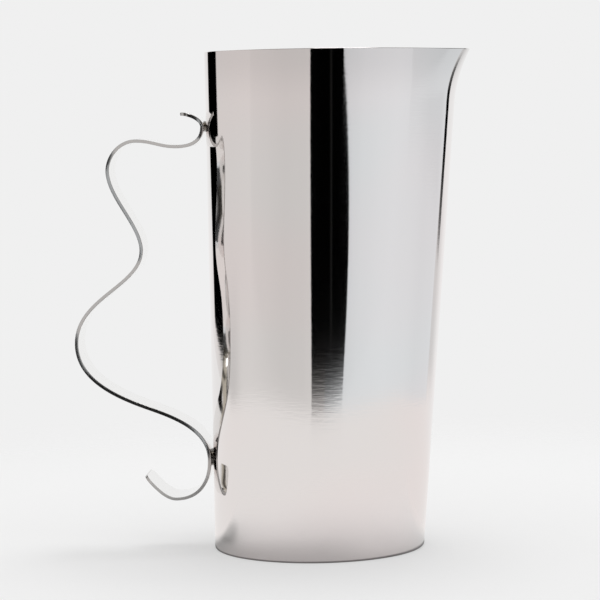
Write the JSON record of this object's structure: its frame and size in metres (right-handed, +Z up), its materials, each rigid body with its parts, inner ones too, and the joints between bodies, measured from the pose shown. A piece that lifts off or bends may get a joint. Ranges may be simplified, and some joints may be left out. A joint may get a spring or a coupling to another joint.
{
  "type": "cocktail pitcher",
  "caption": "Tall leaning sheet-steel pitcher with a drawn pouring lip and a handle bent from one flat strip that curls free at both ends.",
  "frame": {"origin": "centre of the foot, on the table", "axes": "+Z up, +X from the foot's centre towards the pouring lip, handle on the -X side"},
  "size_m": [0.1843, 0.117, 0.23],
  "materials": {
    "body_steel": "polished",
    "base_steel": "satin",
    "strip_steel": "polished",
    "braze": "satin"
  },
  "bodies": {
    "root": {"body_wall": "body_steel", "base_disc": "base_steel", "base_bead": "braze", "handle_strip": "strip_steel", "upper_braze": "braze", "lower_braze": "braze"}
  },
  "joints": []
}
